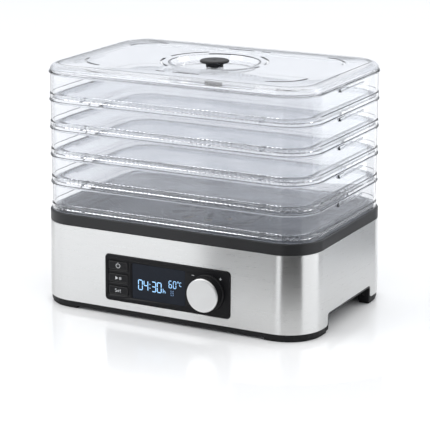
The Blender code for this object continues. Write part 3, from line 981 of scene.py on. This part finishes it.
@dataclass
class Marks:
    """Flat marks laid on a face that looks to the front."""

    face: float
    height: float = 0.05

    def __post_init__(self) -> None:
        """Starts an empty set of marks."""
        self.mould = Mould(Facing.FRONT)

    def shape(self, outline: Sequence[Flat]) -> None:
        """Adds one filled outline."""
        self.mould.extrude(outline, self.face, self.face + self.height)

    def segment(self, at: Flat, size: Flat, bar: Segment, thick: float) -> None:
        """Adds one bar of a digit.

        Args:
            at: the digit's lower middle.
            size: its width and height.
            bar: which bar.
            thick: the bar's thickness.
        """
        column, row, upright = bar.value
        half_width, half_height = size[0] / 2, size[1] / 2
        x, z = at[0] + column * half_width, at[1] + row * half_height
        gap, t = thick * 0.22, thick / 2
        if upright:
            low, high = z + gap, z + half_height - gap
            outline = [(x, low), (x + t, low + t), (x + t, high - t), (x, high), (x - t, high - t),
                       (x - t, low + t)]
        else:
            low, high = x - half_width + gap, x + half_width - gap
            outline = [(low, z), (low + t, z - t), (high - t, z - t), (high, z), (high - t, z + t),
                       (low + t, z + t)]
        self.shape(outline)

    def digit(self, letter: str, at: Flat, size: Flat, thick: float) -> None:
        """Adds a digit or a letter made of bars."""
        for bar in DIGITS[letter]:
            self.segment(at, size, bar, thick)

    def hoop(self, at: Flat, radius: float, thick: float, start: float = 0, end: float = 360
             ) -> None:
        """Adds a ring, or part of one.

        Args:
            at: its middle.
            radius: its middle radius.
            thick: its width.
            start: where it starts, in degrees from the right.
            end: where it ends.
        """
        inner, outer = (arc(radius + side * thick / 2, start, end, HOOP_STEPS, at)
                        for side in (-1, 1))
        for i in range(HOOP_STEPS):
            self.shape((inner[i], outer[i], outer[i + 1], inner[i + 1]))

    def border(self, at: Flat, half: Flat, radius: float, thick: float) -> None:
        """Adds a thin frame with round corners.

        Args:
            at: its middle.
            half: half its width and height.
            radius: of its corners.
            thick: its width.
        """
        low, high = self.face, self.face + self.height
        self.mould.frame(Footprint(*half, radius, 5), (
            (0, low), (0, high), (thick, high), (thick, low)), at)

    def block(self, at: Flat, half: Flat) -> None:
        """Adds a small filled rectangle."""
        (x, z), (a, b) = at, half
        self.shape(((x - a, z - b), (x + a, z - b), (x + a, z + b), (x - a, z + b)))

    def lay(self, name: str, finish: Finish, body: str, slot: Slot) -> None:
        """Ends the marks as one piece."""
        fit(self.mould.piece(name, flat=True), finish, body, slot)


@dataclass
class ControlPanel:
    """The black panel with its three keys, its display and its dial."""

    radius: float = 4.5
    plate: tuple[Flat, ...] = ((0, -3.0), (0, -0.9), (0.25, -0.3), (0.9, 0))
    gap: float = 0.3
    shaft_hole: float = 5.4
    key_radius: float = 1.4
    key_section: tuple[Flat, ...] = (
        (0, -3.8), (0, -0.55), (0.2, -0.2), (0.7, -0.05), (2.2, 0))
    window_radius: float = 0.8
    pane: tuple[Flat, ...] = ((0, -1.6), (0, -0.2), (0.2, 0))
    digit: Flat = (4.9, 11.1)
    small_digit: Flat = (3.3, 7.9)
    time: tuple[tuple[float, str], ...] = ((-22.9, "0"), (-15.9, "4"), (-5.9, "3"), (0.9, "0"))
    heat: tuple[tuple[float, str], ...] = ((14.8, "6"), (20.2, "0"))
    dial_face: tuple[Flat, ...] = (
        (3.0, -0.1), (1.6, 0), (0.9, -0.12), (0.3, -0.55), (0, -1.3), (0, -2.2), (0.4, -2.6),
        (2.0, -2.6), (2.0, -3))
    shaft_radius: float = 3.05
    dial_ring: tuple[Flat, ...] = (
        (4.4, 0), (18.9, 0), (19.8, -0.2), (20.2, -0.8), (20.2, -2.0), (4.4, -2.0))

    def bezel(self) -> None:
        """The panel's plate, with openings for the keys, the window and the dial's shaft."""
        (x, z), half = place_of("control_panel")
        face = face_of("control_panel")
        shape = Footprint(*half, self.radius, 10)
        mould = Mould(Facing.FRONT)
        rings = [mould.ring(shape.loop(inset, (x, z)), height)
                 for inset, height in raised(self.plate, face)]
        mould.skin(rings)
        holes = []
        for node, radius in (
                ("power_button", self.key_radius), ("start_pause_button", self.key_radius),
                ("set_button", self.key_radius), ("display_window", self.window_radius)):
            at, half = place_of(node)
            opening = Footprint(half[0] + self.gap, half[1] + self.gap, radius, 5)
            holes.append(opening.loop(0, at))
        dial = place_of("dial_skirt")[0]
        holes.append(circle(self.shaft_hole, 32, dial))
        mould.pierced(((rings[0], face + self.plate[0][1]), (rings[-1], face)), holes)
        fit(mould.piece("panel_bezel"), PANEL, "base", Slot.PANEL_BLACK, "control_panel")
        signs = Marks(face)
        signs.block((dial[0] - 18.0, z + 16.9), (1.5, 0.28))
        signs.block((dial[0] + 15.6, z + 17.2), (1.5, 0.28))
        signs.block((dial[0] + 15.6, z + 17.2), (0.28, 1.5))
        signs.lay("dial_signs", PRINT, "base", Slot.PANEL_BLACK)

    def keys(self) -> None:
        """Three keys with a slightly crowned cap, a thin outline and a symbol each."""
        symbols: dict[str, Callable[[Marks, Flat], None]] = {
            "power": self.power_sign, "start_pause": self.start_sign, "set": self.set_sign}
        for key, symbol in symbols.items():
            node, body = f"{key}_button", f"{key}_key"
            at, half = place_of(node)
            face = face_of(node)
            cap = Mould(Facing.FRONT).slab(
                Footprint(*half, self.key_radius, 6), raised(self.key_section, face), at)
            fit(cap.piece(f"{key}_key_cap"), KEY, body, Slot.PANEL_BLACK, node)
            edge = Marks(face - 0.04)
            edge.border(at, (half[0] - 0.75, half[1] - 0.75), 0.9, 0.22)
            edge.lay(f"{key}_key_outline", DIM_PRINT, body, Slot.PANEL_BLACK)
            sign = Marks(face)
            symbol(sign, at)
            sign.lay(f"{key}_key_symbol", PRINT, body, Slot.PANEL_BLACK)

    def power_sign(self, marks: Marks, at: Flat) -> None:
        """An open ring with a short bar."""
        marks.hoop(at, 2.5, 0.55, 122, 418)
        marks.block((at[0], at[1] + 2.2), (0.28, 1.5))

    def start_sign(self, marks: Marks, at: Flat) -> None:
        """A triangle and two bars.

        Args:
            marks: where it is drawn.
            at: its middle.
        """
        x, z = at
        marks.shape(((x - 3.5, z - 2.0), (x - 0.1, z), (x - 3.5, z + 2.0)))
        marks.block((x + 1.9, z), (0.34, 1.5))
        marks.block((x + 3.4, z), (0.34, 1.5))

    def set_sign(self, marks: Marks, at: Flat) -> None:
        """The word for setting a value, in plain strokes.

        Args:
            marks: where it is drawn.
            at: its middle.
        """
        x, z = at
        half = 0.21
        for level in (1.6, 0.1, -1.6):
            marks.block((x - 3.05, z + level), (1.0, half))
        marks.block((x - 3.9, z + 0.85), (half, 0.6))
        marks.block((x - 2.2, z - 0.75), (half, 0.7))
        marks.hoop((x - 0.1, z - 0.6), 1.0, 2 * half, 0, 318)
        marks.block((x - 0.1, z - 0.6), (1.0, half))
        marks.block((x + 2.3, z), (half, 1.8))
        marks.block((x + 2.5, z + 0.6), (0.85, half))
        marks.block((x + 2.8, z - 1.6), (0.6, half))

    def display(self) -> None:
        """The dark window, and the lit digits on it."""
        at, half = place_of("display_window")
        face = face_of("display_window")
        pane = Mould(Facing.FRONT).slab(
            Footprint(*half, self.window_radius - 0.1, 5), raised(self.pane, face), at)
        fit(pane.piece("display_pane"), SCREEN, "base", Slot.DISPLAY, "display_window")
        lit = Marks(face)
        x, z = at[0], at[1] - 9.0
        for place, letter in self.time:
            lit.digit(letter, (x + place, z), self.digit, 0.95)
        for level in (3.4, 7.8):
            lit.block((x - 10.8, z + level), (0.5, 0.5))
        lit.digit("h", (x + 7.0, z), (2.5, 5.4), 0.7)
        for place, letter in self.heat:
            lit.digit(letter, (x + place, z + 7.4), self.small_digit, 0.72)
        lit.hoop((x + 24.3, z + 15.0), 0.75, 0.45)
        lit.digit("C", (x + 27.6, z + 10.8), (2.3, 4.2), 0.62)
        lit.lay("display_digits", LIT, "base", Slot.DISPLAY)
        faint = Marks(face)
        fan = (x + 17.0, z + 0.4)
        for turn in range(0, 360, 90):
            tip = arc(1.2, turn + 45, turn + 45, 1, fan)[0]
            faint.hoop(tip, 0.8, 0.4, turn - 20, turn + 160)
        for wave in range(3):
            faint.block((fan[0] - 1.6 + wave * 1.6, fan[1] + 3.3), (0.22, 0.7))
        faint.lay("display_fan_sign", FAINT, "base", Slot.DISPLAY)

    def dial(self) -> None:
        """The silver cap, slightly dished, its dark sleeve, and the dark ring behind it."""
        (x, z), (radius, _) = place_of("dial_cap")
        front = face_of("dial_cap")
        back = -(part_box("dial_cap")[1].y - BASE_MIDDLE.y) / MM
        rim = [(radius - inset, height) for inset, height in raised(self.dial_face, front)]
        cap = Mould(Facing.FRONT).turned((
            (0.05, front - 0.25), (radius * 0.5, front - 0.2), *rim, (self.shaft_radius, front - 3),
            (self.shaft_radius, front - 4.6), (0.05, front - 4.6)), ROUND_STEPS)
        piece = cap.piece("dial_knob")
        piece.location = (x * MM, BASE_MIDDLE.y, z * MM)
        fit(piece, SILVER, "dial", Slot.SILVER, "dial_cap")
        sleeve = Mould(Facing.FRONT).turned((
            (radius - 0.35, front - 2.7), (radius - 0.35, back), (radius - 1.9, back),
            (radius - 1.9, front - 2.7)), ROUND_STEPS, (x, z), closed=True)
        fit(sleeve.piece("dial_sleeve", 0.2), KNOB, "dial", Slot.DARK_PLASTIC)
        skirt = Mould(Facing.FRONT).turned(
            raised(self.dial_ring, face_of("dial_skirt")), ROUND_STEPS, (x, z), closed=True)
        fit(skirt.piece("dial_ring"), KNOB, "dial", Slot.DARK_PLASTIC, "dial_skirt")

    def make(self) -> None:
        """Builds the panel and what is on it."""
        self.bezel()
        self.keys()
        self.display()
        self.dial()


# ---------------------------------------------------------------------------------------------
# The trays and the lid
# ---------------------------------------------------------------------------------------------


@dataclass
class Tray:
    """A clear tray: a thin wall with a stacking flange, a net floor and a sloped net round it."""

    number: int
    pitch: float = 31.4
    play: float = 0.15
    foot: tuple[Flat, ...] = (
        (6.6, -2.4), (5.0, -2.4), (5.0, 0.15), (2.0, 0.15), (2.0, 6.6), (2.2, 7.2), (2.7, 7.6))
    flange: tuple[Flat, ...] = ((2.7, -2.2), (2.2, -1.5), (1.2, -1.2), (1.2, 0), (4.5, 0))
    heel: tuple[Flat, ...] = ((4.5, 2.6), (6.6, 3.4))
    ridge: tuple[Flat, ...] = (
        (15.4, 4.3), (13.6, 4.3), (13.2, 5.2), (13.6, 6.0), (14.5, 6.2), (15.4, 5.8))
    net_height: float = 5.0
    net_pitch: float = 5.2
    net_inset: float = 14.2
    net_strand: Flat = (0.8, 0.5)
    band_height: float = 2.6
    band_inset: float = 10.0
    band_pitch: float = 5.5
    band_reach: float = 3.9
    band_strand: Flat = (1.2, 0.9)
    rib: Flat = (4.5, 1.5)
    grip_from: float = -30.0
    grip_to: float = 38.0
    grip_reach: Flat = (164.4, 167.45)

    def joint(self) -> float:
        """The height of the joint that the tray stands on."""
        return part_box(f"tray_{self.number}")[1].z / MM - self.pitch + self.play

    def shell(self) -> bpy.types.Object:
        """The wall with its low outer band, its flange, its spigot and its side grips.

        Returns:
            The piece.
        """
        top, start, end = self.pitch - self.play, self.grip_from, self.grip_to
        mould = Mould().frame(STACK, (*self.foot, *raised(self.flange, top), *self.heel))
        for side in (1, -1):
            inner, outer = (side * reach for reach in self.grip_reach)
            ledge = [(inner, start), (outer, start + 1.5), (outer, end - 5.0), (inner, end)]
            mould.extrude(ledge, top - 6.0, top - 4.4)
            block = [(inner, start), (outer, start), (outer, start + 13), (inner, start + 14.5)]
            mould.extrude(block, top - 4.35, top - 1.6)
        return mould.piece("tray_shell", 0.3)

    def floor(self) -> bpy.types.Object:
        """The net: a diagonal mesh in the middle, a ridge round it, and a coarser sloped mesh.

        Returns:
            The piece.
        """
        mould = Mould().frame(STACK, self.ridge)
        count = ceil((STACK.half_x + STACK.half_y) / self.net_pitch)
        for step in range(-count, count + 1):
            for slope in (1, -1):
                chord = STACK.chord(self.net_inset, step * self.net_pitch, slope)
                if chord:
                    start, end = ((*point, self.net_height) for point in chord)
                    mould.bar(start, end, *self.net_strand)
        reach = self.band_reach
        for (x, y), (nx, ny) in STACK.walk(self.band_inset, self.band_pitch):
            for slant in (1, -1):
                sx, sy = -ny * slant * reach, nx * slant * reach
                mould.bar((x + nx * 3.7 - sx, y + ny * 3.7 - sy, self.band_height),
                          (x - nx * reach + sx, y - ny * reach + sy, self.net_height),
                          *self.band_strand)
        ribs = [(x, side * 101.0, 0, side) for side in (1, -1) for x in (-110.0, 110.0)]
        ribs += [(side * 158.0, y, side, 0) for side in (1, -1) for y in (-10.0, 10.0)]
        for x, y, nx, ny in ribs:
            mould.bar((x + nx * 4, y + ny * 4, self.band_height),
                      (x - nx * 4, y - ny * 4, self.net_height + 0.1), *self.rib)
        return mould.piece("tray_net", flat=True)

    def make(self, meshes: dict[str, bpy.types.Object]) -> None:
        """Builds the tray, or copies the first one's meshes.

        Args:
            meshes: the first tray's pieces, whose meshes all trays share.
        """
        node = body = f"tray_{self.number}"
        for part, build, finish in (("shell", self.shell, CLEAR), ("net", self.floor, NET)):
            if part in meshes:
                piece = placed(part, meshes[part].data)
                if part == "shell":
                    Mould.soften(piece, 0.3)
            else:
                piece = meshes[part] = build()
            piece.name = f"{node}_{part}"
            piece.location = BASE_MIDDLE + Vector((0, 0, self.joint() * MM))
            fit(piece, finish, body, Slot.CLEAR, node)


@dataclass
class Lid:
    """The clear lid, with a rounded rim, vents through its top and a round well, and its knob."""

    vent: float = 2.6
    ring_radius: float = 59.5
    ring_middles: tuple[float, ...] = (31.5, 148.5, 211.5, 328.5)
    ring_half: float = 23.5
    corner: Point = (99.5, 43.0, 36.0)
    straight_y: float = 79.0
    straight: tuple[Flat, ...] = ((19.5, 30.5), (-22.5, 10.0))
    rise: float = 9.0
    groove: tuple[Flat, ...] = ((12.9, 0), (12.6, -0.6), (12.1, -0.6))
    well_radius: float = 50.2
    well_slope: float = 3.6
    well_depth: float = 6.0
    wall: float = 1.8
    screw_hole: float = 2.2
    knob_cap: tuple[Flat, ...] = (
        (0.05, -0.9), (1.5, -0.8), (2.4, -0.4), (6.5, -0.3), (11.5, -0.12), (13.8, 0),
        (15.6, -0.35), (16.4, -1.1), (16.5, -1.9), (16.2, -2.7), (15.0, -3.3), (11.6, -3.7),
        (10.1, -4.3))
    knob_stem: tuple[Flat, ...] = ((9.7, 0.5), (9.9, 0), (1.9, 0), (1.9, 4.2), (0.05, 4.2))

    def arc_vent(self, at: Flat, radius: float, start: float, end: float) -> list[Flat]:
        """A curved slot with round ends.

        Args:
            at: the middle of its arc.
            radius: the arc's radius.
            start: where it starts, in degrees.
            end: where it ends.

        Returns:
            Its outline.
        """
        half, outline = self.vent / 2, []
        for side, first, last, away in ((1, start, end, end), (-1, end, start, start + 180)):
            outline += arc(radius + side * half, first, last, 12, at)
            tip = arc(radius, last, last, 1, at)[0]
            outline += arc(half, away + 45, away + 135, 2, tip)
        return outline

    def vents(self) -> list[list[Flat]]:
        """Two kinds of curved vent and the short straight ones at the front and the rear.

        Returns:
            The outline of each.
        """
        found = [self.arc_vent((0, 0), self.ring_radius, middle - self.ring_half,
                               middle + self.ring_half) for middle in self.ring_middles]
        x, y, radius = self.corner
        for q, (sx, sy) in enumerate(QUARTERS):
            found.append(self.arc_vent((sx * x, sy * y), radius, q * 90 + 6, q * 90 + 84))
        for side in (1, -1):
            for a, b in self.straight:
                low, high = sorted((side * a, side * b))
                shape = Footprint((high - low) / 2, self.vent / 2, self.vent / 2 - 0.05, 4)
                found.append(shape.loop(0, ((low + high) / 2, side * self.straight_y)))
        return found

    def cover(self) -> None:
        """The lid itself, with the round well in its middle."""
        low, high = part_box("lid")
        spigot, top = low.z / MM, high.z / MM
        joint, floor = top - self.rise, top - self.well_depth
        mould = Mould()
        section = [*raised(self.groove, top), *reversed(bend((2.9, joint + 2.4), (9.1, 6.6), 6)),
                   (2.8, joint + 1.7), (2.1, joint + 1.3), (2.1, joint + 0.15),
                   (5.0, joint + 0.15), (5.0, spigot), (6.6, spigot), (4.7, joint + 1.2),
                   *bend((4.7, joint + 1.8), (12.3, 5.4), 5)]
        rings = [mould.ring(STACK.loop(inset), height) for inset, height in section]
        mould.skin(rings)
        lips, seats = [], []
        for drop, wider in ((0, 0), (self.wall, 1.6)):
            lip, seat = self.well_radius + wider, self.well_radius - self.well_slope + wider
            lips.append(mould.ring(circle(lip), top - drop))
            seats.append(mould.ring(circle(seat), floor - drop))
            mould.skin([lips[-1], seats[-1]])
        mould.pierced(((rings[0], top), (rings[-1], top - self.wall)), self.vents(),
                      ([lips[0]], [lips[1]]))
        mould.pierced(((seats[0], floor), (seats[1], floor - self.wall)),
                      [circle(self.screw_hole, 16)])
        fit(mould.piece("lid_cover", 0.2), CLEAR, "lid", Slot.CLEAR, "lid")

    def knob(self) -> None:
        """The dark knob: a stem under a broad cap with a shallow dish and a dimple."""
        low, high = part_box("lid_knob")
        mould = Mould().turned(
            raised(self.knob_cap, high.z / MM) + raised(self.knob_stem, low.z / MM), 72)
        fit(mould.piece("lid_grip"), KNOB, "lid", Slot.KNOB, "lid_knob")

    def make(self) -> None:
        """Builds the lid and its knob."""
        self.cover()
        self.knob()


# ---------------------------------------------------------------------------------------------
# The setting
# ---------------------------------------------------------------------------------------------


@dataclass
class Studio:
    """A pale floor, soft light and the camera."""

    azimuth: float = 27.81
    elevation: float = 15.05
    distance: float = 2.0814
    target: Point = (0.0005, 0.0055, 0.0977)
    lens: float = 153.0
    sky: float = 1.35
    floor_half: float = 14.0
    walls: tuple[tuple[float, Point], ...] = (
        (0.10, (0.60, 0.62, 0.66)), (0.45, (0.72, 0.74, 0.77)), (0.85, (1, 1, 1)))
    cards: tuple[tuple[str, Flat, float, Flat, Flat, Finish], ...] = (
        ("corner", (0.127, -0.07), 0.16, (6.0, 64.0), (0.002, 0.25), BLACK_CARD),
        ("front", (0.0, 0.0), 0.28, (-9.0, 22.0), (0.002, 0.25), GREY_CARD),
        ("left", (0.0, 0.0), 0.56, (-119.0, -84.0), (0.002, 0.26), GREY_CARD),
        ("right", (0.0, 0.0), 0.36, (100.0, 140.0), (0.002, 0.12), GREY_CARD),
        ("right_rear", (0.0, 0.0), 0.58, (160.0, 175.0), (0.002, 0.26), GREY_CARD),
        ("right_high", (0.0, 0.0), 0.58, (150.0, 190.0), (0.46, 0.75), GREY_CARD),
        ("strip", (0.127, -0.07), 0.26, (99.0, 160.0), (0.11, 0.27), WHITE_CARD))
    card_steps: int = 16
    lamps: tuple[tuple[str, Point, Point, Flat, float], ...] = (
        ("key_light", (-1.5, -1.6, 1.9), (0, 0, 0.12), (1.6, 1.2), 22),
        ("rim_light", (1.6, 1.5, 1.7), (0, 0, 0.15), (1.4, 1.4), 14))

    def sheet(self, name: str, points: Sequence[Point], quads: Sequence[Sequence[int]],
              material: bpy.types.Material) -> bpy.types.Object:
        """A thin sheet that belongs to the setting.

        Args:
            name: its name.
            points: its points, in metres.
            quads: the four points of each of its faces, by number.
            material: what it is made of.

        Returns:
            The object.
        """
        mesh = bpy.data.meshes.new(name)
        mesh.from_pydata(points, [], quads)
        mesh.materials.append(material)
        made = placed(name, mesh)
        return made

    def floor(self) -> None:
        """A plain glossy white floor."""
        surface = Surface(bpy.data.materials.new("studio_floor"))
        worn = surface.noise(3.0, 2.0)
        surface.output("ShaderNodeOutputMaterial", surface.node("ShaderNodeBsdfPrincipled", None, {
            "Base Color": surface.blend(worn, (0.85, 0.85, 0.85), (0.87, 0.87, 0.87)),
            "Roughness": 0.13 + worn * 0.03}))
        half = self.floor_half
        corners = [(-half, -half, 0), (half, -half, 0), (half, half, 0), (-half, half, 0)]
        self.sheet("studio_floor", corners, [(0, 1, 2, 3)], surface.owner)

    def surroundings(self) -> None:
        """Pale walls that grow lighter towards a white ceiling."""
        world = bpy.data.worlds.new("studio")
        bpy.context.scene.world = world
        surface = Surface(world)
        way = surface.node("ShaderNodeTexCoord").outputs["Generated"]
        height = surface.node("ShaderNodeSeparateXYZ", None, {0: way}).outputs["Z"]
        shade = surface.node("ShaderNodeValToRGB", {"stops": self.walls}, {0: height})
        surface.output("ShaderNodeOutputWorld", surface.node("ShaderNodeBackground", None, {
            "Color": shade.outputs[0], "Strength": self.sky}))

    def card(self, name: str, middle: Flat, radius: float, sweep: Flat, reach: Flat, finish: Finish
             ) -> None:
        """A curved card that only shows in what the object reflects.

        Args:
            name: its name.
            middle: the middle of its curve, in metres.
            radius: the curve's radius, in metres.
            sweep: where it starts and ends, in degrees from the front towards the right.
            reach: its lower and upper edge, in metres.
            finish: its colour.
        """
        steps = self.card_steps
        curve = arc(radius, sweep[0] - 90, sweep[1] - 90, steps, middle)
        points = [(x, y, z) for z in reach for x, y in curve]
        quads = [(i, i + 1, i + steps + 2, i + steps + 1) for i in range(steps)]
        card = self.sheet(f"card_{name}", points, quads, finish.material())
        card.visible_camera = card.visible_diffuse = card.visible_shadow = False
        card.visible_transmission = False

    def softbox(self, name: str, at: Point, aim: Point, size: Flat, power: float) -> None:
        """A large soft lamp.

        Args:
            name: its name.
            at: where it hangs, in metres.
            aim: what it points at.
            size: its width and height.
            power: its power in watts.
        """
        light = bpy.data.lights.new(name, "AREA")
        light.shape, light.size, light.size_y, light.energy = "RECTANGLE", *size, power
        lamp = placed(name, light)
        lamp.location = at
        lamp.rotation_euler = (Vector(aim) - Vector(at)).to_track_quat("-Z", "Y").to_euler()

    def camera(self) -> None:
        """The camera at its viewing angle."""
        a, e = radians(self.azimuth), radians(self.elevation)
        back = Vector((sin(a) * cos(e), -cos(a) * cos(e), sin(e)))
        data = bpy.data.cameras.new("camera")
        data.lens, data.sensor_width = self.lens, 36.0
        data.clip_start, data.clip_end = 0.05, 60.0
        eye = placed("camera", data)
        eye.location = Vector(self.target) + back * self.distance
        eye.rotation_euler = (-back).to_track_quat("-Z", "Y").to_euler()
        bpy.context.scene.camera = eye

    def make(self) -> None:
        """Sets the stage."""
        bpy.context.scene.view_settings.view_transform = "Standard"
        self.floor()
        self.surroundings()
        for card in self.cards:
            self.card(*card)
        for lamp in self.lamps:
            self.softbox(*lamp)
        self.camera()


def dress_carried() -> None:
    """Gives every CAD node that stays its finish."""
    for finish, nodes in CARRIED.items():
        for node in nodes:
            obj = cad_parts[node]
            for slot in obj.material_slots:
                slot.material = finish.material()
            LOG.info("%s: %s", node, finish.name)


def main() -> None:
    """Builds the pieces in order, then the setting."""
    logging.basicConfig(level=logging.INFO, format="%(name)s %(message)s")
    dress_carried()
    Base().make()
    ControlPanel().make()
    meshes: dict[str, bpy.types.Object] = {}
    for number in range(1, 6):
        Tray(number).make(meshes)
    Lid().make()
    Studio().make()


if __name__ == "__main__":
    main()
